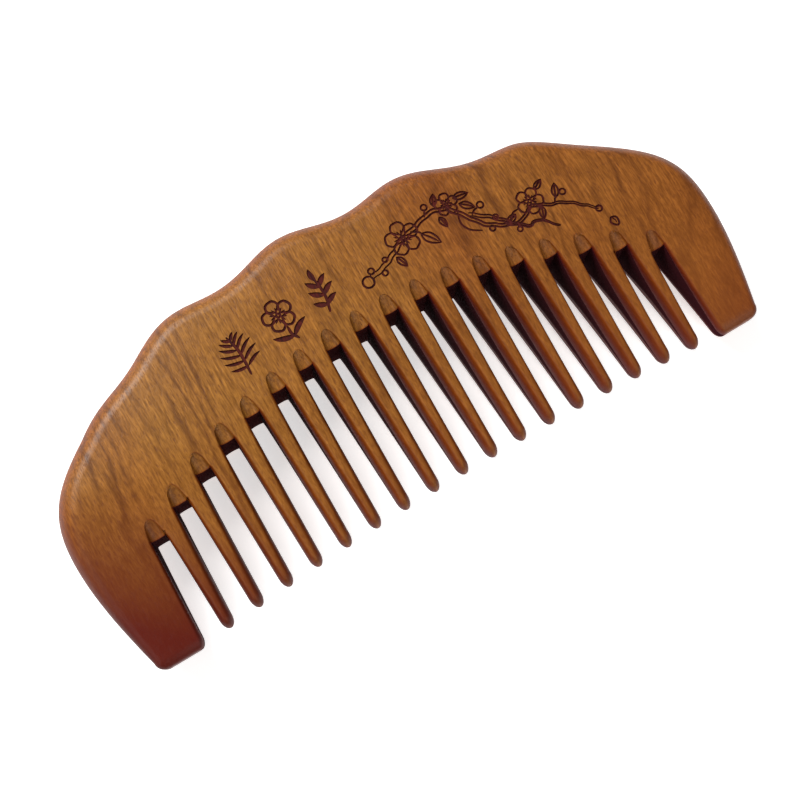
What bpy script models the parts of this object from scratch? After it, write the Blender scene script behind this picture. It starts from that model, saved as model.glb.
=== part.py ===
"""Wide tooth comb sawn and sanded from one plank of wood.

The comb lies flat on its back face: +X along its length, teeth towards -Y, +Z up out of the face.
Everything is metres.  The plan shape is built from stations (cross lines) and every plan point
carries the drop of the surface below the face of the plank at that point.
"""
import math

import bmesh
import bpy
from mathutils import Vector
from mathutils.geometry import delaunay_2d_cdt

MM = 0.001

# Overall sizes
LENGTH = 130.0 * MM
HEIGHT = 56.0 * MM
SPINE_THICKNESS = 12.0 * MM
TIP_THICKNESS = 4.0 * MM
TAPER_DEPTH = 28.0 * MM            # length of the thinned part, measured up from the tips

# Saw cuts
SLOT_COUNT = 18
SLOT_WIDTH = 2.68 * MM
END_TOOTH_WIDTH = 12.9 * MM
MIDDLE_TOOTH_LENGTH = 30.6 * MM
ROOT_ARC_SAG = 13.8 * MM           # first slot root below the middle slot roots
TIP_ARC_SAG = 1.9 * MM             # first tooth tip below the middle tooth tip
END_TOOTH_DROP = 0.6 * MM          # end teeth reach this far below the first tooth tip

# Teeth
TIP_WIDTH_RATIO = 0.70             # tooth width at the tip over its width at the root
TIP_ROUND_LENGTH = 2.0 * MM
ROOT_EDGE_ROUND = 0.40 * MM
ROOT_EDGE_DROP = 0.70 * MM
TIP_ROUND_SHARE = 0.90             # of the half width and half thickness taken by the round at the tip
TIP_LAST_TURN = math.radians(80.0) # how far round the tip its last row of points lies
END_INNER_ROUND_SHARE = 0.25       # of a slim tooth's width, taken by the round inside an end tooth's tip
END_INNER_FALL_SHARE = 0.60        # of the half thickness, taken by that round

# Hollow sanded into both faces above every slot
SCOOP_LENGTH = 3.4 * MM
SCOOP_DEPTH = 1.3 * MM
SCOOP_TOP_WIDTH_RATIO = 0.62
SCOOP_RIM_POWER = 0.6              # below 1 squares the rim's oval
SCOOP_SIDE_DEPTH_SHARE = 0.85      # depth beside the hollow's centre line over the depth on it
# rows across the hollow: height as a share of its length, half width as a share of the slot's, depth share
SCOOP_ROWS = ((0.40, 0.52, 0.72), (0.74, 0.34, 0.36))

# Wavy back
WAVE_HEIGHT = 1.0 * MM
WAVE_LENGTH = 24.8 * MM
WAVE_CENTRE = 5.0 * MM             # the dip between the two middle crests lies off centre
WAVE_FADE = 14.0 * MM              # the wave dies out over this length beside the shoulders
SHOULDER_INSET = 10.9 * MM
SHOULDER_DROP = 15.0 * MM
SHOULDER_DIRECTION = Vector((0.82, -0.57))
SHOULDER_START_PULL = 0.45         # of the shoulder's span, how far its curve follows that direction
SHOULDER_END_PULL = 0.42           # and how far it arrives upright at the longest point
ARCH_SQUARE_SHARE = 0.503          # of the arch's fall, the rest goes with the fourth power
END_WAIST_RISE = 23.0 * MM         # the comb is longest this far above the tips
END_FOOT_INSET = 3.5 * MM
FOOT_DIRECTION = Vector((0.25, 0.97))
SIDE_PULL = 0.33                   # of the end's span, how far its curve follows each end's direction
FOOT_CORNER = 2.0 * MM
FOOT_INNER_CORNER_SHARE = 0.6      # the inner corner of the foot over the outer one
FOOT_THINNING = 0.55               # of the thickness lost by the foot's last row
BACK_EDGE_ROUND = 4.0 * MM
BACK_EDGE_BAND = 2.0 * MM          # upright band left in the middle of the rounded back edge
LEAST_EDGE_FALL = 0.2              # of the half thickness, the least that the end's edge is rounded by

# Mesh resolution
ROUND_STEPS = 3
SCOOP_RIM_STEPS = 8
TOOTH_STATIONS = 6
TIP_STATIONS = 4
BACK_STEPS = 54
SHOULDER_STEPS = 8
SIDE_STEPS = 5
FOOT_STEPS = 3
FLAT_POINT_STEP = 5.0 * MM
FLAT_POINT_START = 15.0 * MM
EDGE_MARGIN = 1.0 * MM             # kept between those points and the rounded edge
SCOOP_MARGIN = 0.3 * MM            # kept between those points and the scoops
RING_MARGIN = 1.5 * MM             # kept between the outer edge's last point and the slot root level
HALVINGS = 40                      # steps of the search for the outline at a given height
SAME_SPOT = 0.0001 * MM
SHARP_ANGLE = math.radians(35.0)

HALF_LENGTH = LENGTH / 2
TOP_Y = HEIGHT / 2
BOTTOM_Y = -HEIGHT / 2
PITCH = (LENGTH - 2 * END_TOOTH_WIDTH - SLOT_WIDTH) / (SLOT_COUNT - 1)
TOOTH_WIDTH = PITCH - SLOT_WIDTH
FIRST_SLOT_X = PITCH * (SLOT_COUNT - 1) / 2
FIRST_TOOTH_X = PITCH * (SLOT_COUNT - 2) / 2
ROOT_RADIUS = (FIRST_SLOT_X ** 2 + ROOT_ARC_SAG ** 2) / (2 * ROOT_ARC_SAG)
TIP_RADIUS = (FIRST_TOOTH_X ** 2 + TIP_ARC_SAG ** 2) / (2 * TIP_ARC_SAG)
MIDDLE_TIP_Y = BOTTOM_Y + END_TOOTH_DROP + TIP_ARC_SAG
MIDDLE_ROOT_Y = MIDDLE_TIP_Y + MIDDLE_TOOTH_LENGTH
TAPER_TOP_Y = BOTTOM_Y + TAPER_DEPTH
SHOULDER_X = HALF_LENGTH - SHOULDER_INSET
SHOULDER_Y = TOP_Y - SHOULDER_DROP
END_WAIST_Y = BOTTOM_Y + END_WAIST_RISE
ARCH_TOP_Y = TOP_Y - WAVE_HEIGHT


def half_thickness(y):
    """Half the thickness of the plank at height y: flat spine, straight taper to the tips."""
    share = min(1.0, max(0.0, (y - BOTTOM_Y) / TAPER_DEPTH))
    return (TIP_THICKNESS + (SPINE_THICKNESS - TIP_THICKNESS) * share) / 2


def root_y(x):
    """Height of the arc on which the slots end."""
    return MIDDLE_ROOT_Y - ROOT_RADIUS + math.sqrt(ROOT_RADIUS ** 2 - x * x)


def tip_y(x):
    """Height of the shallow arc on which the tooth tips end."""
    return MIDDLE_TIP_Y - TIP_RADIUS + math.sqrt(TIP_RADIUS ** 2 - x * x)


def back_y(x):
    """Height of the wavy back between the shoulders."""
    share = (x / SHOULDER_X) ** 2
    fall = (ARCH_TOP_Y - SHOULDER_Y) * (ARCH_SQUARE_SHARE * share + (1 - ARCH_SQUARE_SHARE) * share ** 2)
    fade = min(1.0, (SHOULDER_X - abs(x)) / WAVE_FADE)
    return ARCH_TOP_Y - fall - WAVE_HEIGHT * fade * math.cos(2 * math.pi * (x - WAVE_CENTRE) / WAVE_LENGTH)


def bezier(a, b, c, d, t):
    return a * (1 - t) ** 3 + b * 3 * t * (1 - t) ** 2 + c * 3 * t * t * (1 - t) + d * t ** 3


def shoulder_point(t):
    """Right shoulder, from the end of the wavy back (t = 0) round to the longest point (t = 1)."""
    start = Vector((SHOULDER_X, SHOULDER_Y))
    end = Vector((HALF_LENGTH, END_WAIST_Y))
    reach = (start - end).length
    leave = start + SHOULDER_DIRECTION * reach * SHOULDER_START_PULL
    arrive = end + Vector((0, reach * SHOULDER_END_PULL))
    return bezier(start, leave, arrive, end, t)


def side_point(t):
    """Right end below its longest point, down to the start of the foot corner."""
    start = Vector((HALF_LENGTH, END_WAIST_Y))
    end = Vector((HALF_LENGTH - END_FOOT_INSET, BOTTOM_Y + FOOT_CORNER))
    reach = (start - end).length
    leave = start - Vector((0, reach * SIDE_PULL))
    arrive = end + FOOT_DIRECTION * reach * SIDE_PULL
    return bezier(start, leave, arrive, end, t)


def end_x_at(y):
    """Half length of the outline at height y, for heights below the shoulder."""
    low = 0.0
    high = 1.0
    curve = shoulder_point if y > END_WAIST_Y else side_point
    for _ in range(HALVINGS):
        middle = (low + high) / 2
        if curve(middle).y > y:
            low = middle
        else:
            high = middle
    return curve(low).x


class Plan:
    """Plan points with the drop of the surface below the plank face, and the lines between them."""

    def __init__(self):
        self.points = []
        self.drops = []
        self.lines = []
        self.index = {}

    def point(self, x, y, drop=0.0):
        key = (round(x / SAME_SPOT), round(y / SAME_SPOT))
        if key not in self.index:
            self.index[key] = len(self.points)
            self.points.append(Vector((x, y)))
            self.drops.append(drop)
        return self.index[key]

    def row(self, entries):
        found = [self.point(*entry) for entry in entries]
        self.lines += [pair for pair in zip(found, found[1:]) if pair[0] != pair[1]]
        return found

    def net(self, rows):
        """Join each point of a row to the same point of the next row."""
        for first, second in zip(rows, rows[1:]):
            self.lines += [pair for pair in zip(first, second) if pair[0] != pair[1]]


def rounded(edge, inward, width, drop):
    """Points from an edge inwards over a quarter-ellipse round: (x, drop) pairs, edge first."""
    angles = [math.pi / 2 * step / ROUND_STEPS for step in range(ROUND_STEPS + 1)]
    return [(edge + inward * width * (1 - math.cos(a)), drop * (1 - math.sin(a))) for a in angles]


def tooth_rows(plan, centre):
    """One inner tooth: rows of points from its root to its tip."""
    base = root_y(centre)
    tip = tip_y(centre)
    start = tip + TIP_ROUND_LENGTH
    rows = []
    for station in range(1, TOOTH_STATIONS + TIP_STATIONS + 1):
        if station <= TOOTH_STATIONS:
            along = station / TOOTH_STATIONS
            y = base + (start - base) * along
            shrink = 1.0
        else:
            along = 1.0
            turn = TIP_LAST_TURN * (station - TOOTH_STATIONS) / TIP_STATIONS
            y = start - TIP_ROUND_LENGTH * math.sin(turn)
            shrink = math.cos(turn)
        half = TOOTH_WIDTH / 2 * (1 + (TIP_WIDTH_RATIO - 1) * along) * shrink
        thick = half_thickness(y)
        tip_round = TIP_ROUND_SHARE * TOOTH_WIDTH * TIP_WIDTH_RATIO / 2
        width = (ROOT_EDGE_ROUND * (1 - along) + tip_round * along) * shrink
        fall = ROOT_EDGE_DROP * (1 - along) + TIP_ROUND_SHARE * thick * along * shrink
        lift = thick * (1 - shrink)
        left = rounded(centre - half, 1, width, fall)
        right = rounded(centre + half, -1, width, fall)
        rows.append(plan.row([(x, y, drop + lift) for x, drop in left + right[::-1]]))
    return rows


def tooth_root(plan, centre):
    """The line where a tooth leaves the spine; its ends are the slot root corners."""
    half = TOOTH_WIDTH / 2
    left = rounded(centre - half, 1, ROOT_EDGE_ROUND, ROOT_EDGE_DROP)
    right = rounded(centre + half, -1, ROOT_EDGE_ROUND, ROOT_EDGE_DROP)
    left_y = root_y(centre - PITCH / 2)
    right_y = root_y(centre + PITCH / 2)
    entries = []
    for x, drop in left + right[::-1]:
        share = (x - centre + half) / TOOTH_WIDTH
        entries.append((x, left_y * (1 - share) + right_y * share, drop))
    return plan.row(entries)


def end_tooth_rows(plan, side):
    """A wide end tooth: rows from the slot root down to the foot, outer edge first."""
    inner_root = side * (FIRST_SLOT_X + SLOT_WIDTH / 2)
    base = root_y(FIRST_SLOT_X)
    start = BOTTOM_Y + FOOT_CORNER
    foot_inner = side * (FIRST_SLOT_X + SLOT_WIDTH / 2 + TOOTH_WIDTH * (1 - TIP_WIDTH_RATIO) / 2)
    rows = []
    for station in range(TOOTH_STATIONS + FOOT_STEPS + 1):
        if station <= TOOTH_STATIONS:
            along = station / TOOTH_STATIONS
            y = base + (start - base) * along
            inset = 0.0
            shrink = 1.0
        else:
            along = 1.0
            turn = math.pi / 2 * (station - TOOTH_STATIONS) / FOOT_STEPS
            y = start - FOOT_CORNER * math.sin(turn)
            inset = FOOT_CORNER * (1 - math.cos(turn))
            shrink = 1 - FOOT_THINNING * (1 - math.cos(turn))
        thick = half_thickness(y)
        outer = side * (end_x_at(max(y, start)) - inset)
        inner = inner_root + (foot_inner - inner_root) * along + side * inset * FOOT_INNER_CORNER_SHARE
        outer_round = BACK_EDGE_ROUND * thick / (SPINE_THICKNESS / 2)
        outer_fall = max((thick - BACK_EDGE_BAND / 2) * shrink, LEAST_EDGE_FALL * thick)
        inner_round = ROOT_EDGE_ROUND + (TOOTH_WIDTH * END_INNER_ROUND_SHARE - ROOT_EDGE_ROUND) * along
        inner_fall = ROOT_EDGE_DROP * (1 - along) + END_INNER_FALL_SHARE * thick * along * shrink
        lift = thick * (1 - shrink)
        out_part = rounded(outer, -side, outer_round * shrink, outer_fall * shrink)
        in_part = rounded(inner, side, inner_round * shrink, inner_fall)
        rows.append(plan.row([(x, y, drop + lift) for x, drop in out_part + in_part[::-1]]))
    return rows


def scoop(plan, centre):
    """The hollow above one slot, and the slot's own root edge."""
    base = root_y(centre)
    half = SLOT_WIDTH / 2
    drops = [ROOT_EDGE_DROP, SCOOP_DEPTH, SCOOP_DEPTH, SCOOP_DEPTH, ROOT_EDGE_DROP]
    root = plan.row([(centre + half * (number - 2) / 2, base, drop) for number, drop in enumerate(drops)])
    rim = []
    for step in range(1, SCOOP_RIM_STEPS):
        turn = math.pi * step / SCOOP_RIM_STEPS
        rise = math.sin(turn) ** SCOOP_RIM_POWER
        reach = (half + ROOT_EDGE_ROUND) * (1 - (1 - SCOOP_TOP_WIDTH_RATIO) * rise)
        aside = math.copysign(abs(math.cos(turn)) ** SCOOP_RIM_POWER, math.cos(turn))
        rim.append((centre - reach * aside, base + SCOOP_LENGTH * rise))
    plan.row(rim)
    for rise, spread, deep in SCOOP_ROWS:
        y = base + SCOOP_LENGTH * rise
        width = half * spread
        drop = SCOOP_DEPTH * deep
        beside = drop * SCOOP_SIDE_DEPTH_SHARE
        plan.row([(centre - width, y, beside), (centre, y, drop), (centre + width, y, beside)])
    return root


def outer_ring(plan, left_rows, right_rows):
    """Rounded outer edge from the left slot root level over the back to the right one."""
    base = root_y(FIRST_SLOT_X)
    shoulder = [shoulder_point(step / SHOULDER_STEPS) for step in range(SHOULDER_STEPS + 1)]
    side = [side_point(step / SIDE_STEPS) for step in range(1, SIDE_STEPS)]
    right = [spot for spot in shoulder[1:] + side if spot.y > base + RING_MARGIN]
    back = [SHOULDER_X * (2 * step / BACK_STEPS - 1) for step in range(BACK_STEPS + 1)]
    left = [Vector((-spot.x, spot.y)) for spot in right[::-1]]
    path = left + [Vector((x, back_y(x))) for x in back] + right
    full = [plan.points[left_rows[0][0]]] + path + [plan.points[right_rows[0][0]]]
    rows = [left_rows[0][:ROUND_STEPS + 1]]
    for before, here, after in zip(full, full[1:], full[2:]):
        along = (after - before).normalized()
        inward = Vector((along.y, -along.x))
        thick = half_thickness(here.y)
        width = BACK_EDGE_ROUND * thick / (SPINE_THICKNESS / 2)
        profile = rounded(0.0, 1, width, thick - BACK_EDGE_BAND / 2)
        rows.append(plan.row([(*(here + inward * reach), drop) for reach, drop in profile]))
    rows.append(right_rows[0][:ROUND_STEPS + 1])
    plan.net(rows)
    return [row[0] for row in rows]


def flat_points(plan):
    """Points on the face where the taper starts, so that the crease follows a straight line."""
    x = FLAT_POINT_START
    limit = end_x_at(TAPER_TOP_Y) - BACK_EDGE_ROUND - EDGE_MARGIN
    while x < limit:
        nearest_slot = round((x - PITCH / 2) / PITCH) * PITCH + PITCH / 2
        if TAPER_TOP_Y > root_y(nearest_slot) + SCOOP_LENGTH + SCOOP_MARGIN:
            plan.point(x, TAPER_TOP_Y)
            plan.point(-x, TAPER_TOP_Y)
        x += FLAT_POINT_STEP


def round_the_tip(rows):
    """Outline of a tooth: down the first points of its rows, across the last row and back up."""
    return [row[0] for row in rows] + rows[-1][1:-1] + [row[-1] for row in rows[::-1]]


def comb_mesh():
    """The closed body: the plan as a height field on both faces, joined by upright walls."""
    plan = Plan()
    slots = [PITCH * (number - (SLOT_COUNT - 1) / 2) for number in range(SLOT_COUNT)]
    left_rows = end_tooth_rows(plan, -1)
    right_rows = end_tooth_rows(plan, 1)
    plan.net(left_rows)
    plan.net(right_rows)
    outline = round_the_tip(left_rows)
    for first, second in zip(slots, slots[1:]):
        centre = (first + second) / 2
        rows = [tooth_root(plan, centre)] + tooth_rows(plan, centre)
        plan.net(rows)
        outline += scoop(plan, first) + round_the_tip(rows)
    outline += scoop(plan, slots[-1]) + round_the_tip([row[::-1] for row in right_rows])
    outline += outer_ring(plan, left_rows, right_rows)[::-1]
    outline = [spot for spot, after in zip(outline, outline[1:] + outline[:1]) if spot != after]
    flat_points(plan)

    cut = delaunay_2d_cdt(plan.points, plan.lines, [outline], 1, SAME_SPOT, True)
    verts, _, faces, origins, _, owners = cut
    faces = [face for face, owner in zip(faces, owners) if owner]
    mesh = bmesh.new()
    top = []
    bottom = []
    middle = SPINE_THICKNESS / 2
    for spot, origin in zip(verts, origins):
        height = half_thickness(spot.y) - (plan.drops[origin[0]] if origin else 0.0)
        top.append(mesh.verts.new((spot.x, spot.y, middle + height)))
        bottom.append(mesh.verts.new((spot.x, spot.y, middle - height)))
    for face in faces:
        mesh.faces.new([top[i] for i in face])
        mesh.faces.new([bottom[i] for i in reversed(face)])
    numbers = {vert: number for number, vert in enumerate(top)}
    for edge in [edge for edge in mesh.edges if edge.is_boundary and edge.verts[0] in numbers]:
        loop = edge.link_loops[0]
        a = numbers[loop.vert]
        b = numbers[loop.link_loop_next.vert]
        mesh.faces.new((top[b], top[a], bottom[a], bottom[b]))
    unused = [vert for vert in mesh.verts if not vert.link_faces]
    bmesh.ops.delete(mesh, geom=unused, context="VERTS")
    bmesh.ops.recalc_face_normals(mesh, faces=mesh.faces)
    low = min(vert.co.y for vert in mesh.verts)
    high = max(vert.co.y for vert in mesh.verts)
    bmesh.ops.translate(mesh, verts=mesh.verts, vec=(0, -(low + high) / 2, 0))
    return mesh


def wood_material():
    material = bpy.data.materials.new("oiled sandalwood")
    material.use_nodes = True
    shader = material.node_tree.nodes["Principled BSDF"]
    shader.inputs["Base Color"].default_value = (0.24, 0.09, 0.027, 1.0)
    shader.inputs["Roughness"].default_value = 0.45
    shader.inputs["Metallic"].default_value = 0.0
    return material


for old in list(bpy.data.objects):
    bpy.data.objects.remove(old, do_unlink=True)

data = bpy.data.meshes.new("comb")
solid = comb_mesh()
for face in solid.faces:
    face.smooth = True
solid.to_mesh(data)
solid.free()
data.set_sharp_from_angle(angle=SHARP_ANGLE)
data.materials.append(wood_material())
comb = bpy.data.objects.new("comb", data)
bpy.context.collection.objects.link(comb)
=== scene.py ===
"""Looks of the one-piece wooden wide tooth comb: carved surface, engraved sprays, oiled wood, studio."""

import math

import bmesh
import bpy
import numpy as np
from mathutils import Matrix, Vector
from mathutils.geometry import delaunay_2d_cdt


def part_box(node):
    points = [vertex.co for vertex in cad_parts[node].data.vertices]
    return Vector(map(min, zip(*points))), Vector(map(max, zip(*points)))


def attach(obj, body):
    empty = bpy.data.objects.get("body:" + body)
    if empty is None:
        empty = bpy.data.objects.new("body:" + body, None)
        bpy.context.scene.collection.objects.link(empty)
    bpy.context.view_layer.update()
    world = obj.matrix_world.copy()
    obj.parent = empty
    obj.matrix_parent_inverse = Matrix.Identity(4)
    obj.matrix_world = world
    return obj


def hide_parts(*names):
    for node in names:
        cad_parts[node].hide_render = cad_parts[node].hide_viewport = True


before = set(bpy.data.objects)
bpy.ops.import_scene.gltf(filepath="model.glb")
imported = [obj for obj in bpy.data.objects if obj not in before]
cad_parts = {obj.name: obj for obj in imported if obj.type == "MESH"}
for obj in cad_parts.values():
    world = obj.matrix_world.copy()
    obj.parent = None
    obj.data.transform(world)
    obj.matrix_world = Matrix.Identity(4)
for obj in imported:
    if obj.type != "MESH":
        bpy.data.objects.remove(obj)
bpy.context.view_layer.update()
COMB_LOW, COMB_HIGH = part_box("comb")

MM = 0.001

# ---------------------------------------------------------------- sizes of the comb
LENGTH = COMB_HIGH.x - COMB_LOW.x
SPINE_THICKNESS = COMB_HIGH.z - COMB_LOW.z
HEIGHT = 56.0 * MM
TIP_THICKNESS = 4.0 * MM
TAPER_DEPTH = 28.0 * MM
TAPER_EASE = 0.12                  # share of that depth over which the start of the taper is sanded round
SLOT_COUNT = 18
SLOT_WIDTH = 2.68 * MM
END_TOOTH_WIDTH = 12.9 * MM
MIDDLE_TOOTH_LENGTH = 30.6 * MM
ROOT_ARC_SAG = 13.8 * MM
TIP_ARC_SAG = 1.9 * MM
END_TOOTH_DROP = 0.6 * MM
TIP_WIDTH_RATIO = 0.70
TIP_ROUND_LENGTH = 2.0 * MM
ROOT_EDGE_ROUND = 0.40 * MM
ROOT_EDGE_DROP = 0.70 * MM
TIP_ROUND_SHARE = 0.94             # share of a tooth's half width and half thickness rounded at its tip
TIP_ROUND_GROWTH = 0.55            # how early down the tooth its flanks get round
TIP_TURN = math.radians(84.0)      # the tip's round stops just short of a point
SCOOP_LENGTH = 3.4 * MM
SCOOP_DEPTH = 1.3 * MM
SCOOP_TOP_WIDTH_RATIO = 0.66
WAVE_HEIGHT = 1.0 * MM
WAVE_LENGTH = 24.8 * MM
WAVE_CENTRE = 5.0 * MM
WAVE_FADE = 14.0 * MM
SHOULDER_INSET = 10.9 * MM
SHOULDER_DROP = 15.0 * MM
ARCH_SQUARE_SHARE = 0.503
END_WAIST_RISE = 23.0 * MM
END_FOOT_INSET = 3.5 * MM
FOOT_CORNER = 2.0 * MM
FOOT_THINNING = 0.45               # share of the thickness left at the very foot
FOOT_FLANK_SHARE = 0.25            # round of an end tooth's inner flank at the foot, as a share of a tooth
BACK_EDGE_ROUND = 4.0 * MM
BACK_EDGE_BAND = 2.0 * MM

# Directions in which the outline leaves the shoulders and enters the feet
SHOULDER_DIRECTION = Vector((0.82, -0.57))
SHOULDER_REACH = 0.45
WAIST_REACH_UP = 0.42
WAIST_REACH_DOWN = 0.33
FOOT_DIRECTION = Vector((0.25, 0.97))

# Fineness of the surface
ROUND_STEPS = 7
TOOTH_STATIONS = 16
TIP_STATIONS = 8
BACK_STEPS = 150
SHOULDER_STEPS = 24
SIDE_STEPS = 20
FOOT_STEPS = 7
SCOOP_STEPS = 12
SCOOP_RISES = (0.08, 0.18, 0.30, 0.43, 0.56, 0.68, 0.78, 0.86, 0.92, 0.96, 0.985, 0.997)
SCOOP_MARGIN = 0.25 * MM           # ring of flat face kept round each scoop

# Engraving
ENGRAVED_DEPTH = 0.22 * MM
ENGRAVED_SIDE = 0.08 * MM          # width of each stroke's sloping side
STROKE_STEP = 0.30 * MM
FINEST_HALF_STROKE = 0.015 * MM
FINE_LINE = 0.42                   # stroke widths in millimetres
STALK_LINE = 0.60
BOLD_BLADE = 1.05

RING_SPACING = 3.0 * MM            # growth rings

HALF_LENGTH = LENGTH / 2
TOP_Y = HEIGHT / 2
BOTTOM_Y = -HEIGHT / 2
PITCH = (LENGTH - 2 * END_TOOTH_WIDTH - SLOT_WIDTH) / (SLOT_COUNT - 1)
TOOTH_WIDTH = PITCH - SLOT_WIDTH
FIRST_SLOT_X = PITCH * (SLOT_COUNT - 1) / 2
FIRST_TOOTH_X = PITCH * (SLOT_COUNT - 2) / 2
ROOT_RADIUS = (FIRST_SLOT_X ** 2 + ROOT_ARC_SAG ** 2) / (2 * ROOT_ARC_SAG)
TIP_RADIUS = (FIRST_TOOTH_X ** 2 + TIP_ARC_SAG ** 2) / (2 * TIP_ARC_SAG)
MIDDLE_TIP_Y = BOTTOM_Y + END_TOOTH_DROP + TIP_ARC_SAG
MIDDLE_ROOT_Y = MIDDLE_TIP_Y + MIDDLE_TOOTH_LENGTH
SHOULDER_X = HALF_LENGTH - SHOULDER_INSET
SHOULDER_Y = TOP_Y - SHOULDER_DROP
END_WAIST_Y = BOTTOM_Y + END_WAIST_RISE
ARCH_TOP_Y = TOP_Y - WAVE_HEIGHT


def half_thickness(y):
    """Half the plank's thickness at this height, with the start of the taper sanded round."""
    share = max(0.0, (y - BOTTOM_Y) / TAPER_DEPTH)
    if share > 1 - TAPER_EASE:
        share = 1 - max(0.0, 1 + TAPER_EASE - share) ** 2 / (4 * TAPER_EASE)
    return (TIP_THICKNESS + (SPINE_THICKNESS - TIP_THICKNESS) * share) / 2


def root_y(x):
    """Arc on which the gaps end."""
    return MIDDLE_ROOT_Y - ROOT_RADIUS + math.sqrt(ROOT_RADIUS ** 2 - x * x)


def tip_y(x):
    """Flatter arc on which the teeth end."""
    return MIDDLE_TIP_Y - TIP_RADIUS + math.sqrt(TIP_RADIUS ** 2 - x * x)


def back_y(x):
    """Low arch of the back with its soft waves, which fade out before the shoulders."""
    share = (x / SHOULDER_X) ** 2
    fall = (ARCH_TOP_Y - SHOULDER_Y) * (ARCH_SQUARE_SHARE * share + (1 - ARCH_SQUARE_SHARE) * share ** 2)
    fade = min(1.0, (SHOULDER_X - abs(x)) / WAVE_FADE)
    wave = math.cos(2 * math.pi * (x - WAVE_CENTRE) / WAVE_LENGTH)
    return ARCH_TOP_Y - fall - WAVE_HEIGHT * fade * wave


def bezier(a, b, c, d, t):
    """Point on a cubic curve from a to d."""
    return a * (1 - t) ** 3 + b * 3 * t * (1 - t) ** 2 + c * 3 * t * t * (1 - t) + d * t ** 3


def shoulder_point(t):
    """Round of the right shoulder, from the back down to the widest point."""
    start = Vector((SHOULDER_X, SHOULDER_Y))
    end = Vector((HALF_LENGTH, END_WAIST_Y))
    reach = (start - end).length
    leave = start + SHOULDER_DIRECTION * reach * SHOULDER_REACH
    arrive = end + Vector((0, reach * WAIST_REACH_UP))
    return bezier(start, leave, arrive, end, t)


def side_point(t):
    """Right side, from the widest point down to the foot corner."""
    start = Vector((HALF_LENGTH, END_WAIST_Y))
    end = Vector((HALF_LENGTH - END_FOOT_INSET, BOTTOM_Y + FOOT_CORNER))
    reach = (start - end).length * WAIST_REACH_DOWN
    return bezier(start, start - Vector((0, reach)), end + FOOT_DIRECTION * reach, end, t)


def end_x_at(y):
    """How far out the right side is at this height, by halving."""
    low = 0.0
    high = 1.0
    curve = shoulder_point if y > END_WAIST_Y else side_point
    for _ in range(40):
        middle = (low + high) / 2
        if curve(middle).y > y:
            low = middle
        else:
            high = middle
    return curve(low).x


# ---------------------------------------------------------------- engraving, in millimetres on the face

def smooth(points, count=10):
    """A smooth line through a few points."""
    spots = [np.array(p, float) for p in points]
    spots = [2 * spots[0] - spots[1]] + spots + [2 * spots[-1] - spots[-2]]
    line = []
    for a, b, c, d in zip(spots, spots[1:], spots[2:], spots[3:]):
        for step in range(count):
            t = step / count
            line.append(0.5 * (2 * b + (c - a) * t + (2 * a - 5 * b + 4 * c - d) * t ** 2
                               + (3 * b - a - 3 * c + d) * t ** 3))
    return np.array(line + [spots[-2]])


def turned(points, angle, origin, size=1.0):
    """The points made larger, turned and moved to origin."""
    c = math.cos(angle) * size
    s = math.sin(angle) * size
    return [(origin[0] + c * x - s * y, origin[1] + s * x + c * y) for x, y in points]


class Engraving:
    """Strokes burnt into the face: each is a line with a half width at every point."""

    def __init__(self):
        self.strokes = []

    def stroke(self, points, width, ends=0.5):
        """A line of this width; ends is the share of the width left at its two ends."""
        line = smooth(points)
        along = np.linspace(0, 1, len(line))
        swell = ends + (1 - ends) * np.sin(np.pi * along) ** 0.5
        self.strokes.append((line * MM, swell * width / 2 * MM))

    def ring(self, centre, radius, width):
        """A small round bud."""
        turns = [2 * math.pi * step / 8 for step in range(9)]
        circle = [(math.cos(turn), math.sin(turn)) for turn in turns]
        self.stroke(turned(circle, 0.0, centre, radius), width, 1.0)

    def petal(self, centre, radius, angle, width):
        """A round petal drawn as one open loop that starts and ends at the flower's heart."""
        half = [(0.30, -0.10), (0.62, -0.42), (0.98, -0.30)]
        shape = half + [(1.06, 0.0)] + [(x, -y) for x, y in half[::-1]]
        self.stroke(turned(shape, angle, centre, radius), width, 0.7)

    def blossom(self, centre, radius, angle, width):
        """Five petals, each with two stamens, round a small heart."""
        for number in range(5):
            turn = angle + 2 * math.pi * number / 5
            self.petal(centre, radius, turn, width)
            for lean in (-0.24, 0.24):
                stamen = [(0.12, 0.0), (0.34, lean * 0.30), (0.52, lean * 0.55)]
                self.stroke(turned(stamen, turn, centre, radius), width * 0.7)
        self.ring(centre, radius * 0.13, width)

    def bud(self, centre, radius, angle, width):
        """A pointed bud with one fold."""
        half = [(-0.9, 0.0), (-0.3, -0.75), (0.6, -0.55)]
        shape = half + [(1.1, 0.0)] + [(x, -y) for x, y in half[::-1]]
        self.stroke(turned(shape, angle, centre, radius), width, 0.9)
        fold = [(-0.7, 0.1), (0.0, 0.2), (0.6, 0.0)]
        self.stroke(turned(fold, angle, centre, radius), width * 0.7)

    def leaf(self, start, length, angle, width):
        """Outlined leaf with a midrib."""
        upper = [(0.0, 0.0), (0.30, 0.20), (0.65, 0.18), (1.0, 0.0)]
        lower = [(x, -y) for x, y in upper]
        midrib = [(0.05, 0.0), (0.45, 0.02), (0.85, 0.0)]
        for shape in (upper, lower, midrib):
            self.stroke(turned(shape, angle, start, length), width)

    def blade(self, start, length, angle, width):
        """Leaf cut with one swelling stroke."""
        shape = [(0.0, 0.0), (0.35, 0.05), (0.70, 0.04), (1.0, -0.03)]
        line = smooth(turned(shape, angle, start, length))
        swell = 0.12 + 0.88 * np.sin(np.pi * np.linspace(0, 1, len(line)) ** 0.8) ** 0.8
        self.strokes.append((line * MM, swell * width / 2 * MM))


SPRAY_TURN = math.radians(9.0)     # the row of sprays leans with the back
SPRAY_SIZE = 1.12


def on_spray(points, origin):
    """Points of a spray, drawn upright round its middle, placed in the row."""
    return turned(points, SPRAY_TURN, origin, SPRAY_SIZE)


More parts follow.
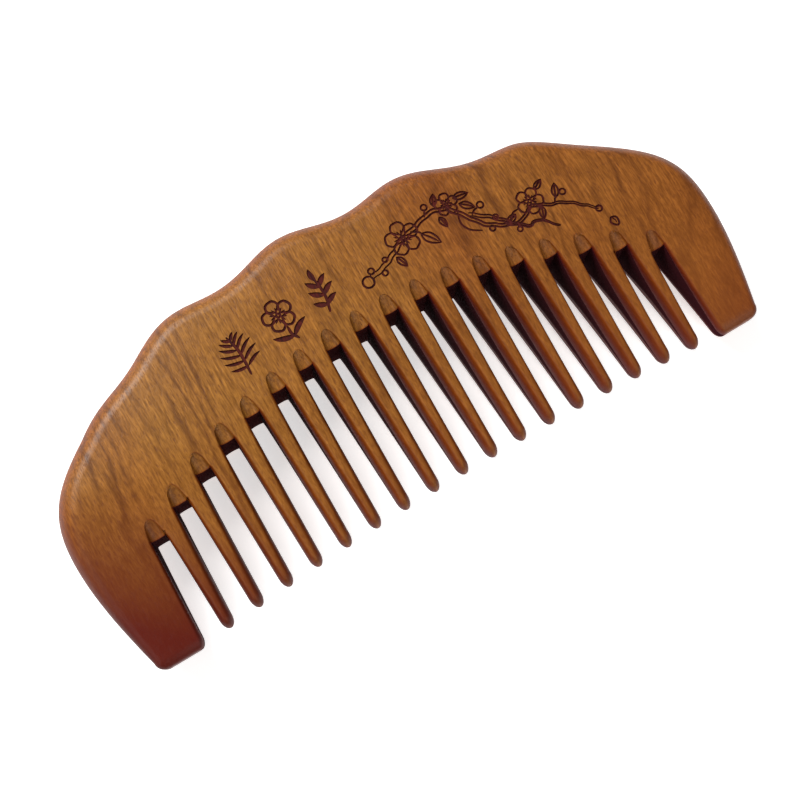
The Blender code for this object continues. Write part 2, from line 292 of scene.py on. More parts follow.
def leaf_sprays(cut):
    """Three small sprays in a row: a fern, a flower on a stalk and a sprig with paired leaves."""
    fern = (-23.5, 11.5)
    cut.stroke(on_spray([(-0.6, -3.5), (-0.1, -1.2), (0.2, 1.0), (0.0, 3.4)], fern), STALK_LINE)
    for rise, reach in ((-2.2, 3.2), (-1.2, 3.6), (-0.2, 3.6), (0.8, 3.2), (1.7, 2.6), (2.5, 1.8)):
        for side in (-1, 1):
            spot = on_spray([(0.05 + 0.04 * rise, rise)], fern)[0]
            turn = SPRAY_TURN + math.pi / 2 - side * math.radians(60 - 6 * rise)
            cut.blade(spot, reach, turn, BOLD_BLADE * 0.62)

    flower = (-14.2, 12.9)
    cut.blossom(on_spray([(0.0, 1.2)], flower)[0], 2.7, SPRAY_TURN + math.pi / 2, 0.50)
    cut.stroke(on_spray([(0.0, -1.1), (-0.2, -2.4), (0.3, -3.6)], flower), STALK_LINE)
    for lean in (26, 154):
        cut.blade(on_spray([(0.0, -2.9)], flower)[0], 3.8, SPRAY_TURN + math.radians(lean), BOLD_BLADE)

    sprig = (-5.4, 14.4)
    stem = [(-1.3, -3.4), (-0.5, -1.6), (-0.1, 0.2), (0.0, 1.9)]
    cut.stroke(on_spray(stem, sprig), 0.55, 0.8)
    for start, reach, lean in (((-0.8, -2.3), 2.5, 62), ((-0.3, -0.8), 2.8, 56), ((-0.1, 0.7), 2.6, 48)):
        for side in (-1, 1):
            turn = SPRAY_TURN + math.radians(82 + side * lean)
            cut.blade(on_spray([start], sprig)[0], reach, turn, BOLD_BLADE)
    cut.blade(on_spray([stem[-1]], sprig)[0], 2.4, SPRAY_TURN + math.radians(86), BOLD_BLADE)


def blossom_branch(cut):
    """A long twig with a side twig, three blossoms, leaves and round buds, and one fallen bud."""
    branch = [(3.0, 11.9), (6.0, 12.6), (8.6, 13.8), (11.4, 15.2), (14.6, 16.2), (18.2, 17.1), (21.2, 16.2),
              (23.4, 13.4), (25.6, 10.4), (28.6, 8.5), (31.6, 7.6), (34.6, 9.0), (37.4, 7.8), (40.4, 6.6),
              (43.0, 4.5), (45.0, 2.7)]
    side_branch = [(24.0, 13.4), (27.0, 11.2), (29.4, 8.8), (32.2, 6.2), (34.4, 6.2), (37.2, 3.4)]
    # each branch is drawn as two knotty edges that close towards its end
    for path, girth in ((branch, 0.42), (side_branch, 0.30)):
        line = smooth(path, 4)
        slope = np.gradient(line, axis=0)
        across = np.stack([-slope[:, 1], slope[:, 0]], 1) / np.linalg.norm(slope, axis=1)[:, None]
        half = girth * (1 - 0.6 * np.linspace(0, 1, len(line)))
        knots = 0.10 * np.sin(np.arange(len(line)) * 1.9)
        cut.stroke(line + across * (half + knots)[:, None], FINE_LINE)
        cut.stroke(line - across * (half - knots)[:, None], FINE_LINE)
    for twig in ([(13.4, 15.8), (14.6, 15.0), (15.0, 14.4)],
                 [(17.0, 16.9), (17.4, 17.6), (17.6, 18.0)],
                 [(24.6, 13.0), (25.4, 13.6), (26.2, 13.7)],
                 [(22.6, 14.8), (22.0, 12.6), (22.8, 10.8), (24.6, 9.6)],
                 [(38.6, 7.4), (39.2, 8.2), (40.0, 8.4)],
                 [(29.6, 8.2), (31.0, 9.6), (32.2, 9.8)]):
        cut.stroke(twig, FINE_LINE)
    for centre, radius in (((2.2, 11.5), 1.05), ((3.6, 13.0), 0.55), ((5.6, 11.5), 0.50), ((6.8, 13.6), 0.45),
                           ((17.8, 18.5), 0.55), ((26.8, 13.9), 0.60), ((26.4, 9.0), 0.50),
                           ((28.0, 10.6), 0.45), ((41.0, 8.6), 0.55), ((45.0, 2.6), 0.55),
                           ((30.6, 6.4), 0.45)):
        cut.ring(centre, radius, FINE_LINE)
    for centre, radius, angle in (((11.6, 15.5), 2.95, 0.3), ((21.6, 17.0), 2.0, 0.1),
                                  ((34.9, 10.0), 2.35, 0.9)):
        cut.blossom(centre, radius, angle, FINE_LINE)
    for start, length, angle in (((14.8, 14.6), 4.0, -54), ((23.2, 17.4), 3.0, -8), ((23.6, 16.0), 3.0, -42),
                                 ((19.4, 17.8), 2.4, 62), ((31.4, 9.2), 2.6, -160), ((36.2, 8.2), 2.6, -110),
                                 ((39.4, 8.2), 2.8, 66), ((36.8, 11.4), 2.4, 30), ((8.8, 13.0), 2.6, -70),
                                 ((19.2, 15.6), 2.4, -80)):
        cut.leaf(start, length, math.radians(angle), FINE_LINE)
    cut.bud((46.2, -0.7), 0.95, -1.2, FINE_LINE)


ENGRAVING = Engraving()
leaf_sprays(ENGRAVING)
blossom_branch(ENGRAVING)
STROKES = ENGRAVING.strokes
SEGMENT_A = np.concatenate([line[:-1] for line, _ in STROKES])
SEGMENT_B = np.concatenate([line[1:] for line, _ in STROKES])
HALF_A = np.concatenate([half[:-1] for _, half in STROKES])
HALF_B = np.concatenate([half[1:] for _, half in STROKES])


def inside_strokes(points):
    """How far each point lies inside the edge of the nearest stroke (negative outside), in metres."""
    run = SEGMENT_B - SEGMENT_A
    length = np.maximum((run ** 2).sum(1), 1e-18)
    best = np.full(len(points), -1.0)
    near = np.all((points > SEGMENT_A.min(0) - MM) & (points < SEGMENT_A.max(0) + MM), axis=1)
    for some in np.array_split(np.flatnonzero(near), 1 + near.sum() // 2000):
        part = points[some, None, :] - SEGMENT_A[None]
        along = np.clip((part * run).sum(2) / length, 0, 1)
        away = np.linalg.norm(part - along[..., None] * run, axis=2)
        best[some] = (HALF_A + (HALF_B - HALF_A) * along - away).max(1)
    return best


# ---------------------------------------------------------------- plan of the comb

class Plan:
    """Plan points, each with its drop below the plank's face and its darkening by oiling and painted shade (0
    little, 1 most).
    """

    def __init__(self):
        self.points = []
        self.drops = []
        self.oils_and_shades = []
        self.lines = []
        self.index = {}

    def point(self, x, y, drop=0.0, oil_and_shade=0.0):
        """Number of the point at this place, added if it isn't there yet."""
        key = (round(x * 1e7), round(y * 1e7))
        if key not in self.index:
            self.index[key] = len(self.points)
            self.points.append(Vector((x, y)))
            self.drops.append(drop)
            self.oils_and_shades.append(oil_and_shade)
        return self.index[key]

    def row(self, entries):
        """Adds points joined one to the next."""
        found = [self.point(*entry) for entry in entries]
        self.lines += [pair for pair in zip(found, found[1:]) if pair[0] != pair[1]]
        return found

    def net(self, rows):
        """Joins each row to the next, point by point."""
        for first, second in zip(rows, rows[1:]):
            self.lines += [pair for pair in zip(first, second) if pair[0] != pair[1]]


def painted_flank_shade(low):
    """Painted shade on a tooth's rounded flank, low being 0 at the face and 1 at the wall."""
    return low ** 0.5


def back_oil_and_shade(low):
    """Amber over the rounded outer edge, partly oiling of the end grain and partly painted shade, with
    painted shade a little darker at its foot.
    """
    return 0.34 * min(1.0, 3 * low) + 0.16 * low ** 2


def rounded(edge, inward, width, drop, oil_and_shade=painted_flank_shade):
    """(x, drop, oil_and_shade) over a quarter-ellipse round, from the wall at edge inwards."""
    angles = [math.pi / 2 * step / ROUND_STEPS for step in range(ROUND_STEPS + 1)]
    return [(edge + inward * width * (1 - math.cos(a)), drop * (1 - math.sin(a)), oil_and_shade(1 - math.sin(a)))
            for a in angles]


def tooth_rows(plan, centre):
    """Rows across one slim tooth, from its root to its tip."""
    base = root_y(centre)
    tip = tip_y(centre)
    start = tip + TIP_ROUND_LENGTH
    rows = []
    for station in range(1, TOOTH_STATIONS + TIP_STATIONS + 1):
        if station <= TOOTH_STATIONS:
            along = station / TOOTH_STATIONS
            y = base + (start - base) * along
            shrink = 1.0
        else:
            along = 1.0
            turn = TIP_TURN * (station - TOOTH_STATIONS) / TIP_STATIONS
            y = start - TIP_ROUND_LENGTH * math.sin(turn)
            shrink = math.cos(turn)
        half = TOOTH_WIDTH / 2 * (1 + (TIP_WIDTH_RATIO - 1) * along) * shrink
        thick = half_thickness(y)
        grown = along ** TIP_ROUND_GROWTH
        tip_width = TIP_ROUND_SHARE * TOOTH_WIDTH * TIP_WIDTH_RATIO / 2
        width = (ROOT_EDGE_ROUND * (1 - grown) + tip_width * grown) * shrink
        fall = ROOT_EDGE_DROP * (1 - grown) + TIP_ROUND_SHARE * thick * grown * shrink
        lift = thick * (1 - shrink)
        # painted shade: the rounded flanks and tip darken towards the walls
        left = rounded(centre - half, 1, width, fall)
        right = rounded(centre + half, -1, width, fall)
        rows.append(plan.row([(x, y, drop + lift, oil_and_shade) for x, drop, oil_and_shade in left + right[::-1]]))
    return rows


def tooth_root(plan, centre):
    """The row across one slim tooth at its root, which slopes when the two gaps end at different heights."""
    half = TOOTH_WIDTH / 2
    # painted shade: the root corners darken towards the walls
    left = rounded(centre - half, 1, ROOT_EDGE_ROUND, ROOT_EDGE_DROP)
    right = rounded(centre + half, -1, ROOT_EDGE_ROUND, ROOT_EDGE_DROP)
    edges = [(centre - half, root_y(centre - PITCH / 2)), (centre + half, root_y(centre + PITCH / 2))]
    entries = []
    for x, drop, oil_and_shade in left + right[::-1]:
        share = (x - edges[0][0]) / (edges[1][0] - edges[0][0])
        entries.append((x, edges[0][1] * (1 - share) + edges[1][1] * share, drop, oil_and_shade))
    return plan.row(entries)


def end_tooth_rows(plan, side):
    """Rows across one broad end tooth, from its root to its foot; side is -1 or 1."""
    inner_root = side * (FIRST_SLOT_X + SLOT_WIDTH / 2)
    base = root_y(FIRST_SLOT_X)
    start = BOTTOM_Y + FOOT_CORNER
    foot_inner = side * (FIRST_SLOT_X + SLOT_WIDTH / 2 + TOOTH_WIDTH * (1 - TIP_WIDTH_RATIO) / 2)
    rows = []
    for station in range(TOOTH_STATIONS + FOOT_STEPS + 1):
        if station <= TOOTH_STATIONS:
            along = station / TOOTH_STATIONS
            y = base + (start - base) * along
            inset = 0.0
            shrink = 1.0
        else:
            along = 1.0
            turn = math.pi / 2 * (station - TOOTH_STATIONS) / FOOT_STEPS
            y = start - FOOT_CORNER * math.sin(turn)
            inset = FOOT_CORNER * (1 - math.cos(turn))
            shrink = FOOT_THINNING + (1 - FOOT_THINNING) * math.cos(turn)
        thick = half_thickness(y)
        outer = side * (end_x_at(max(y, start)) - inset)
        inner = inner_root + (foot_inner - inner_root) * along + side * inset * 0.6
        outer_round = BACK_EDGE_ROUND * thick / (SPINE_THICKNESS / 2)
        outer_fall = max(thick * shrink - BACK_EDGE_BAND / 2 * shrink, 0.2 * thick)
        inner_round = ROOT_EDGE_ROUND + (TOOTH_WIDTH * FOOT_FLANK_SHARE - ROOT_EDGE_ROUND) * along
        inner_fall = ROOT_EDGE_DROP * (1 - along) + 0.6 * thick * along * shrink
        lift = thick * (1 - shrink)
        # painted shade: the outer round takes amber with a darker foot, the inner flank darkens towards its
        # wall
        out_part = rounded(outer, -side, outer_round * shrink, outer_fall * shrink, back_oil_and_shade)
        in_part = rounded(inner, side, inner_round * shrink, inner_fall)
        rows.append(plan.row([(x, y, drop + lift, oil_and_shade) for x, drop, oil_and_shade in out_part + in_part[::-1]]))
    return rows


def scoop(plan, centre, left_edge, right_edge):
    """The hollow above one slot: rows from the slot's root edge up to the round top.

    left_edge and right_edge are the points that round off the two neighbouring teeth.
    """
    base = root_y(centre)
    half = SLOT_WIDTH / 2
    widest = half + ROOT_EDGE_ROUND
    inner = []
    for step in range(1, SCOOP_STEPS):
        share = 2 * step / SCOOP_STEPS - 1
        deep = ROOT_EDGE_DROP + (SCOOP_DEPTH - ROOT_EDGE_DROP) * (1 - share * share) ** 0.7
        # painted shade: the hollow's root line is tinted amber and a little maroon
        inner.append((centre + share * half, base, deep, 0.42))
    root = plan.row([tuple(plan.points[left_edge[-1]])] + inner + [tuple(plan.points[right_edge[0]])])
    rows = [left_edge[:-1] + root + right_edge[1:]]
    first = [(plan.points[spot].x - centre, plan.points[spot].y, plan.drops[spot]) for spot in rows[0]]
    guard = []
    for rise in SCOOP_RISES:
        narrow = (1 - (1 - SCOOP_TOP_WIDTH_RATIO) * rise) * (1 - rise ** 5) ** 0.5
        fade = 1 - rise ** 1.5
        row = []
        for x, y, drop in first:
            low = min(1.0, drop / ROOT_EDGE_DROP)
            # painted shade: amber on the hollow's sloping sides, strongest half way down
            oil_and_shade = 0.04 * low + 0.26 * math.sin(math.pi * low)
            row.append((centre + x * narrow, y + SCOOP_LENGTH * rise, drop * fade, oil_and_shade))
        rows.append(plan.row(row))
        above = SCOOP_MARGIN * rise ** 8
        guard.append((widest * narrow + SCOOP_MARGIN - above, base + SCOOP_LENGTH * rise + above))
    plan.net(rows)
    arc = [(centre - x, y) for x, y in guard] + [(centre, base + SCOOP_LENGTH + SCOOP_MARGIN)]
    plan.row(arc + [(centre + x, y) for x, y in guard[::-1]])
    return root


def outer_ring(plan, left_rows, right_rows):
    """The rounded edge from one end tooth over the back to the other; gives its outermost points."""
    base = root_y(FIRST_SLOT_X)
    shoulder = [shoulder_point(step / SHOULDER_STEPS) for step in range(SHOULDER_STEPS + 1)]
    side = [side_point(step / SIDE_STEPS) for step in range(1, SIDE_STEPS)]
    right = [p for p in shoulder[1:] + side if p.y > base + 0.6 * MM]
    back = [SHOULDER_X * (2 * step / BACK_STEPS - 1) for step in range(BACK_STEPS + 1)]
    path = [Vector((-p.x, p.y)) for p in right[::-1]] + [Vector((x, back_y(x))) for x in back] + right
    full = [plan.points[left_rows[0][0]]] + path + [plan.points[right_rows[0][0]]]
    rows = [left_rows[0][:ROUND_STEPS + 1]]
    for before, here, after in zip(full, full[1:], full[2:]):
        along = (after - before).normalized()
        inward = Vector((along.y, -along.x))
        thick = half_thickness(here.y)
        width = BACK_EDGE_ROUND * thick / (SPINE_THICKNESS / 2)
        # painted shade: amber over the round, darker at its foot
        profile = rounded(0.0, 1, width, thick - BACK_EDGE_BAND / 2, back_oil_and_shade)
        rows.append(plan.row([(*(here + inward * reach), drop, oil_and_shade) for reach, drop, oil_and_shade in profile]))
    rows.append(right_rows[0][:ROUND_STEPS + 1])
    plan.net(rows)
    return [row[0] for row in rows]


def taper_points(plan):
    """Rows of points across the face where the taper starts."""
    limit = end_x_at(BOTTOM_Y + TAPER_DEPTH) - BACK_EDGE_ROUND - 1.0 * MM
    for number in range(-4, 5):
        y = BOTTOM_Y + TAPER_DEPTH * (1 + TAPER_EASE * number / 4)
        x = PITCH / 4
        while x < limit:
            nearest = (round(x / PITCH - 0.5) + 0.5) * PITCH
            clear = y > root_y(nearest) + SCOOP_LENGTH + 0.3 * MM
            if clear or (abs(x - nearest) > SLOT_WIDTH and y > root_y(nearest) + 0.5 * MM):
                plan.point(x, y)
                plan.point(-x, y)
            x += PITCH / 4


def stroke_rims(plan):
    """Two closed rims for every engraved stroke: its edge on the face, and the foot of its sloping side."""
    for line, half in STROKES:
        gone = np.concatenate([[0], np.cumsum(np.linalg.norm(np.diff(line, axis=0), axis=1))])
        picks = np.linspace(0, gone[-1], max(4, int(gone[-1] / STROKE_STEP) + 1))
        spots = np.stack([np.interp(picks, gone, line[:, 0]), np.interp(picks, gone, line[:, 1])], 1)
        halves = np.interp(picks, gone, half)
        along = np.gradient(spots, axis=0)
        along /= np.linalg.norm(along, axis=1)[:, None]
        across = np.stack([-along[:, 1], along[:, 0]], 1)
        for inset in (0.0, ENGRAVED_SIDE):
            reach = np.maximum(halves - inset, FINEST_HALF_STROKE)[:, None]
            start = []
            end = []
            for lean in (0.8, 0.0, -0.8):
                start.append(spots[0] - reach[0] * (along[0] * math.cos(lean) + across[0] * math.sin(lean)))
                end.append(spots[-1] + reach[-1] * (along[-1] * math.cos(lean) + across[-1] * math.sin(lean)))
            rim = start + list(spots + across * reach) + end + list((spots - across * reach)[::-1])
            plan.row([tuple(spot) for spot in rim + rim[:1]])


def round_the_tip(rows):
    """The outermost points of a tooth's rows, down one flank, over the tip and up the other."""
    return [row[0] for row in rows] + rows[-1][1:-1] + [row[-1] for row in rows[::-1]]


# Places of the three finishes in the comb's list of materials
OILED = 0
SAWN_AND_SHADED = 1
BURNT = 2


def comb_mesh():
    """The whole comb as one closed mesh, with the engraving on its upper face only."""
    plan = Plan()
    slots = [PITCH * (number - (SLOT_COUNT - 1) / 2) for number in range(SLOT_COUNT)]
    left_rows = end_tooth_rows(plan, -1)
    right_rows = end_tooth_rows(plan, 1)
    plan.net(left_rows)
    plan.net(right_rows)
    outline = round_the_tip(left_rows)
    round_points = ROUND_STEPS + 1
    left_edge = left_rows[0][-round_points:]
    for first, second in zip(slots, slots[1:]):
        centre = (first + second) / 2
        rows = [tooth_root(plan, centre)] + tooth_rows(plan, centre)
        plan.net(rows)
        outline += scoop(plan, first, left_edge, rows[0][:round_points]) + round_the_tip(rows)
        left_edge = rows[0][-round_points:]
    outline += scoop(plan, slots[-1], left_edge, right_rows[0][:-round_points - 1:-1])
    outline += round_the_tip([row[::-1] for row in right_rows])
    outline += outer_ring(plan, left_rows, right_rows)[::-1]
    outline = [spot for spot, after in zip(outline, outline[1:] + outline[:1]) if spot != after]
    taper_points(plan)
    carved = len(plan.points)
    stroke_rims(plan)

    verts, _, faces, origins, _, owners = delaunay_2d_cdt(plan.points, plan.lines, [outline], 1, 1e-7, True)
    faces = [face for face, owner in zip(faces, owners) if owner]
    flat = np.array([(v.x, v.y) for v in verts])
    drop = np.zeros(len(verts))
    oil_and_shade = np.zeros(len(verts))
    for number, origin in enumerate(origins):
        shaped = [spot for spot in origin if spot < carved]
        if shaped:
            drop[number] = plan.drops[shaped[0]]
            oil_and_shade[number] = plan.oils_and_shades[shaped[0]]
    cut = np.clip(inside_strokes(flat) / ENGRAVED_SIDE, 0, 1) * ENGRAVED_DEPTH
    centres = np.array([flat[list(face)].mean(0) for face in faces])
    engraved = inside_strokes(centres) > 0.2 * ENGRAVED_SIDE
    for face, is_engraved in zip(faces, engraved):
        if not is_engraved:
            cut[list(face)] = 0.0
    half = np.array([half_thickness(y) for y in flat[:, 1]])
    shift = -(min(flat[:, 1]) + max(flat[:, 1])) / 2
    middle = SPINE_THICKNESS / 2

    mesh = bmesh.new()
    # oiling tint and painted shade at every point
    oil_and_shade_layer = mesh.verts.layers.float.new("oil_and_shade")
    top = []
    bottom = []
    for number, (x, y) in enumerate(flat):
        height = half[number] - drop[number]
        top.append(mesh.verts.new((x, y + shift, middle + height - cut[number])))
        bottom.append(mesh.verts.new((x, y + shift, middle - height)))
        top[-1][oil_and_shade_layer] = oil_and_shade[number]
        bottom[-1][oil_and_shade_layer] = oil_and_shade[number]
    for face, is_engraved in zip(faces, engraved):
        upper = mesh.faces.new([top[i] for i in face])
        upper.material_index = BURNT if is_engraved else OILED
        mesh.faces.new([bottom[i] for i in reversed(face)])
    numbers = {vert: number for number, vert in enumerate(top)}
    for rim in [rim for rim in mesh.edges if rim.is_boundary and rim.verts[0] in numbers]:
        loop = rim.link_loops[0]
        a = numbers[loop.vert]
        b = numbers[loop.link_loop_next.vert]
        wall = mesh.faces.new((top[b], top[a], bottom[a], bottom[b]))
        # walls of the gaps between the teeth get the sawn finish, partly painted shade of the gaps
        between_teeth = abs(flat[a][0] + flat[b][0]) / 2 < FIRST_SLOT_X + SLOT_WIDTH
        wall.material_index = SAWN_AND_SHADED if between_teeth and flat[a][1] < root_y(0) + 0.1 * MM else OILED
    bmesh.ops.delete(mesh, geom=[vert for vert in mesh.verts if not vert.link_faces], context="VERTS")
    bmesh.ops.recalc_face_normals(mesh, faces=mesh.faces)
    for face in mesh.faces:
        face.smooth = True
    for line in mesh.edges:
        kinds = {face.material_index == BURNT for face in line.link_faces}
        line.smooth = len(kinds) == 1 and line.calc_face_angle(0.0) < math.radians(40.0)
    return mesh


# ---------------------------------------------------------------- materials

def linear(code):
    """sRGB hex to linear colour."""
    parts = [int(code[i:i + 2], 16) / 255 for i in (1, 3, 5)]
    return [c / 12.92 if c <= 0.04045 else ((c + 0.055) / 1.055) ** 2.4 for c in parts] + [1.0]


def node(tree, kind, inputs, output=0, **settings):
    """Adds a node with its settings, sets or links its inputs, and gives back one of its outputs."""
    made = tree.nodes.new(kind)
    for name, value in settings.items():
        setattr(made, name, value)
    for name, value in inputs.items() if isinstance(inputs, dict) else enumerate(inputs):
        if isinstance(value, bpy.types.NodeSocket):
            tree.links.new(value, made.inputs[name])
        else:
            made.inputs[name].default_value = value
    return made.outputs[output]


def wood_streaks(tree, place, per_metre, detail, low, high, distortion=0.0):
    """Noise stretched along the grain, which runs along Y, as 0 up to low and 1 from high."""
    scaled = node(tree, "ShaderNodeMapping", {"Vector": place, "Scale": per_metre})
    noise = node(tree, "ShaderNodeTexNoise", {"Vector": scaled, "Scale": 1.0, "Detail": detail,
                                              "Roughness": 0.55, "Distortion": distortion})
    return node(tree, "ShaderNodeMapRange", (noise, low, high, 0.0, 1.0))


def new_wood(name):
    """An empty wood material with its node tree, its shader and the place on the comb."""
    material = bpy.data.materials.new(name)
    material.use_nodes = True
    tree = material.node_tree
    place = node(tree, "ShaderNodeTexCoord", {}, "Object")
    return material, tree, tree.nodes["Principled BSDF"], place


def sandalwood(name, pale, middle, deep, warm, amber, maroon, roughness, gloss):
    """Fine-grained wood: broad tone, growth rings round a pith past the right end, fibres, pores, oiling and
    painted shade.

    pale, middle and deep are the wood's own colours; warm tints the teeth and maroon the tips and one lower
    corner; amber and maroon paint shade on rounded edges and hollows, amber partly also standing for oiling.
    """
    material, tree, shader, place = new_wood(name)
    spot_x = node(tree, "ShaderNodeSeparateXYZ", {"Vector": place}, "X")
    spot_y = node(tree, "ShaderNodeSeparateXYZ", {"Vector": place}, "Y")

    # broad tone: palest left of the middle, with soft patches about 30 mm wide and 80 mm along the grain
    patch = wood_streaks(tree, place, (32, 11, 32), 2.0, 0.36, 0.64)
    patch = node(tree, "ShaderNodeMath", (patch, 0.5, -0.25), operation="MULTIPLY_ADD")
    rightward = node(tree, "ShaderNodeMapRange", (spot_x, 0.052, -0.024, 0.0, 1.0))
    left_end = node(tree, "ShaderNodeMapRange", (spot_x, -0.030, -0.062, 0.0, 0.55))
    tone = node(tree, "ShaderNodeMath", (rightward, left_end), operation="SUBTRACT")
    tone = node(tree, "ShaderNodeMath", (tone, patch), operation="ADD", use_clamp=True)
    colour = node(tree, "ShaderNodeMix", {0: tone, 6: linear(middle), 7: linear(pale)}, 2, data_type="RGBA")

    # growth rings: shells 3 mm apart, drawn out along the grain and bent so that no two look alike
    shell = node(tree, "ShaderNodeMapping", {"Vector": place, "Location": (-0.071, 0.0035, 0.0135),
                                             "Scale": (1.0, 0.27, 1.0)})
    radius = node(tree, "ShaderNodeVectorMath", (shell,), "Value", operation="LENGTH")
    wander = wood_streaks(tree, place, (70, 20, 70), 4.0, 0.0, 1.0)
    radius = node(tree, "ShaderNodeMath", (wander, 0.018, radius), operation="MULTIPLY_ADD")
    wave = node(tree, "ShaderNodeMath", (radius, 2 * math.pi / RING_SPACING), operation="MULTIPLY")
    wave = node(tree, "ShaderNodeMath", (wave,), operation="SINE")
    wave = node(tree, "ShaderNodeMapRange", (wave, -1.0, 1.0, 0.0, 1.0))
    late_wood = node(tree, "ShaderNodeMath", (wave, 3.0), operation="POWER")
    broken = wood_streaks(tree, place, (160, 30, 160), 2.0, 0.40, 0.65)
    broken = node(tree, "ShaderNodeMath", (broken, 0.55), operation="MULTIPLY")
    late_wood = node(tree, "ShaderNodeMath", (late_wood, broken), operation="MULTIPLY")
    colour = node(tree, "ShaderNodeMix", {0: late_wood, 6: colour, 7: linear(deep)}, 2, data_type="RGBA")

    # fibres 0.4 mm wide and 6 mm long, finer short ones, and the mottle of wood cut slightly across them;
    # real fibres are under 0.05 mm wide, so these are drawn as coarse as they need to show
    fibre = wood_streaks(tree, place, (2500, 160, 2500), 3.0, 0.30, 0.70, 0.3)
    fine = wood_streaks(tree, place, (3800, 480, 3800), 2.0, 0.32, 0.68)
    mottle = wood_streaks(tree, place, (1500, 620, 1500), 3.0, 0.32, 0.68, 0.6)
    for share, pattern in ((0.42, fibre), (0.46, fine), (0.28, mottle)):
        shade = node(tree, "ShaderNodeMix", {0: pattern, 6: linear("#70523e"), 7: linear("#ffffff")}, 2,
                     data_type="RGBA")
        colour = node(tree, "ShaderNodeMix", {0: share, 6: colour, 7: shade}, 2, data_type="RGBA",
                      blend_type="MULTIPLY")
    # pores: real ones are 0.08 mm wide, drawn here as dashes 0.2 mm wide and 1.2 mm long so that they show
    pores = wood_streaks(tree, place, (4600, 800, 4600), 1.0, 0.58, 0.70)
    dark_pores = node(tree, "ShaderNodeMath", (pores, 0.45), operation="MULTIPLY")
    colour = node(tree, "ShaderNodeMix", {0: dark_pores, 6: colour, 7: linear(deep)}, 2, data_type="RGBA")

    # warmer towards the teeth, and redder and darker towards the tips and towards the lower left corner
    toothward = node(tree, "ShaderNodeMapRange", (spot_y, 0.006, -0.018, 0.0, 0.50))
    colour = node(tree, "ShaderNodeMix", {0: toothward, 6: colour, 7: linear(warm)}, 2, data_type="RGBA")
    corner = node(tree, "ShaderNodeMath", (spot_x, 0.9, spot_y), operation="MULTIPLY_ADD")
    corner = node(tree, "ShaderNodeMath", (tone, 0.006, corner), operation="MULTIPLY_ADD")
    corner = node(tree, "ShaderNodeMapRange", (corner, -0.042, -0.072, 0.0, 0.92))
    colour = node(tree, "ShaderNodeMix", {0: corner, 6: colour, 7: linear(maroon)}, 2, data_type="RGBA")
    tips = node(tree, "ShaderNodeMapRange", (spot_y, -0.014, -0.030, 0.0, 0.42))
    colour = node(tree, "ShaderNodeMix", {0: tips, 6: colour, 7: linear(maroon)}, 2, data_type="RGBA")

    # painted shade: amber on the rounded edges, partly also oil in end grain; maroon on tooth flanks, slot
    # roots and the back's foot
    oil_and_shade = node(tree, "ShaderNodeAttribute", {}, "Fac", attribute_name="oil_and_shade")
    amber_share = node(tree, "ShaderNodeMapRange", (oil_and_shade, 0.0, 0.35, 0.0, 1.0))
    colour = node(tree, "ShaderNodeMix", {0: amber_share, 6: colour, 7: linear(amber)}, 2, data_type="RGBA",
                  blend_type="MULTIPLY")
    maroon_share = node(tree, "ShaderNodeMapRange", (oil_and_shade, 0.35, 0.85, 0.0, 0.94))
    colour = node(tree, "ShaderNodeMix", {0: maroon_share, 6: colour, 7: linear(maroon)}, 2, data_type="RGBA")
    tree.links.new(colour, shader.inputs["Base Color"])

    # pores, fibres and oil-soaked fibre ends are duller than the rubbed face
    dull = node(tree, "ShaderNodeMapRange", (oil_and_shade, 0.0, 0.5, roughness, roughness + 0.18))
    dull = node(tree, "ShaderNodeMath", (fibre, 0.06, dull), operation="MULTIPLY_ADD")
    dull = node(tree, "ShaderNodeMath", (pores, 0.12, dull), operation="MULTIPLY_ADD")
    tree.links.new(dull, shader.inputs["Roughness"])
    relief = node(tree, "ShaderNodeMath", (fine, 0.5, mottle), operation="MULTIPLY_ADD")
    relief = node(tree, "ShaderNodeMath", (relief, pores), operation="SUBTRACT")
    bump = node(tree, "ShaderNodeBump", {"Height": relief, "Strength": 0.28, "Distance": 0.05 * MM})
    tree.links.new(bump, shader.inputs["Normal"])
    shader.inputs["Specular IOR Level"].default_value = gloss
    shader.inputs["IOR"].default_value = 1.5
    return material


def charred_wood():
    """Laser-engraved wood: matt maroon char with the fibres still showing as faint streaks."""
    material, tree, shader, place = new_wood("laser-engraved sandalwood")
    char = wood_streaks(tree, place, (3000, 300, 3000), 3.0, 0.3, 0.7)
    colour = node(tree, "ShaderNodeMix", {0: char, 6: linear("#2c0606"), 7: linear("#52150c")}, 2,
                  data_type="RGBA")
    bump = node(tree, "ShaderNodeBump", {"Height": char, "Strength": 0.5, "Distance": 0.05 * MM})
    tree.links.new(colour, shader.inputs["Base Color"])
    tree.links.new(bump, shader.inputs["Normal"])
    shader.inputs["Roughness"].default_value = 0.80
    shader.inputs["Specular IOR Level"].default_value = 0.2
    return material


# Sanded by hand and rubbed with oil: golden brown with a low satin sheen.
oiled_wood = sandalwood("hand-sanded oiled sandalwood", "#b77f35", "#a15c25", "#54260f", "#8c4c18", "#deb05c",
                        "#560f08", 0.32, 0.20)
# Saw cut and only wiped with oil, and darkened further as painted shade of the narrow gaps between the teeth:
# darker, redder and dull.
sawn_and_shaded_wood = sandalwood("saw-cut sandalwood with painted gap shade", "#5c1e1c", "#46141a", "#2c0a10", "#46141a", "#ffffff",
                       "#360e14", 0.80, 0.05)
burnt_wood = charred_wood()

comb_data = bpy.data.meshes.new("carved_comb")
carved = comb_mesh()
carved.to_mesh(comb_data)
carved.free()
for material in (oiled_wood, sawn_and_shaded_wood, burnt_wood):
    comb_data.materials.append(material)
comb = bpy.data.objects.new("carved_comb", comb_data)
bpy.context.scene.collection.objects.link(comb)
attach(comb, "root")
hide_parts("comb")

# ---------------------------------------------------------------- studio

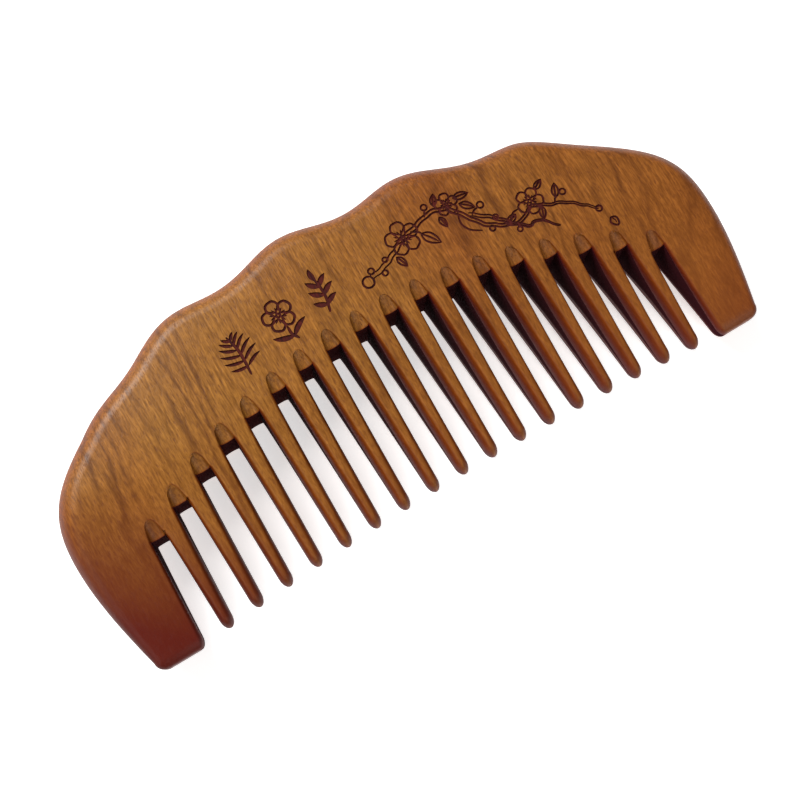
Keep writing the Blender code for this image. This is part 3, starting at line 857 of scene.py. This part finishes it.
def floor_sheet():
    """White acrylic studio table, lit faintly from below so that the gaps between the teeth stay pale."""
    reach = 3.0
    data = bpy.data.meshes.new("studio_floor")
    corners = [(-reach, -reach, 0), (reach, -reach, 0), (reach, reach, 0), (-reach, reach, 0)]
    data.from_pydata(corners, [], [(0, 1, 2, 3)])
    material = bpy.data.materials.new("back-lit white acrylic")
    material.use_nodes = True
    shader = material.node_tree.nodes["Principled BSDF"]
    shader.inputs["Base Color"].default_value = linear("#f2f1ef")
    shader.inputs["Roughness"].default_value = 0.9
    shader.inputs["Emission Color"].default_value = (1.0, 1.0, 1.0, 1.0)
    shader.inputs["Emission Strength"].default_value = 0.60
    data.materials.append(material)
    sheet = bpy.data.objects.new("studio_floor", data)
    bpy.context.scene.collection.objects.link(sheet)


def aimed(location, forward, up):
    """Placement of a camera or lamp that looks along forward."""
    back = -Vector(forward).normalized()
    right = Vector(up).cross(back).normalized()
    turn = Matrix((right, back.cross(right), back)).transposed()
    return Matrix.Translation(Vector(location)) @ turn.to_4x4()


def soft_box(name, location, size, power):
    """Square soft light aimed at the comb."""
    data = bpy.data.lights.new(name, "AREA")
    data.shape = "SQUARE"
    data.size = size
    data.energy = power
    lamp = bpy.data.objects.new(name, data)
    bpy.context.scene.collection.objects.link(lamp)
    lamp.matrix_world = aimed(location, -Vector(location), (0, 0.3, 1))


floor_sheet()
soft_box("key_soft_box", (-0.22, 0.60, 0.58), 0.42, 9.6)
soft_box("fill_soft_box", (-0.60, -0.20, 0.56), 0.60, 1.6)
soft_box("low_soft_box", (0.22, -0.60, 0.55), 0.60, 1.8)

world = bpy.data.worlds.new("studio_light")
world.use_nodes = True
surround = world.node_tree.nodes["Background"]
surround.inputs["Color"].default_value = (1.0, 1.0, 1.0, 1.0)
surround.inputs["Strength"].default_value = 0.20
bpy.context.scene.world = world
bpy.context.scene.view_settings.view_transform = "Standard"

camera_data = bpy.data.cameras.new("camera")
camera_data.sensor_width = 36.0
camera_data.lens = 53.18
camera_data.clip_start = 0.01
camera = bpy.data.objects.new("camera", camera_data)
bpy.context.scene.collection.objects.link(camera)
camera.matrix_world = aimed(location=(-0.03536, -0.04241, 0.20904),
                            forward=(0.15491, 0.16386, -0.97424),
                            up=(0.49705, 0.83931, 0.2202))
bpy.context.scene.camera = camera
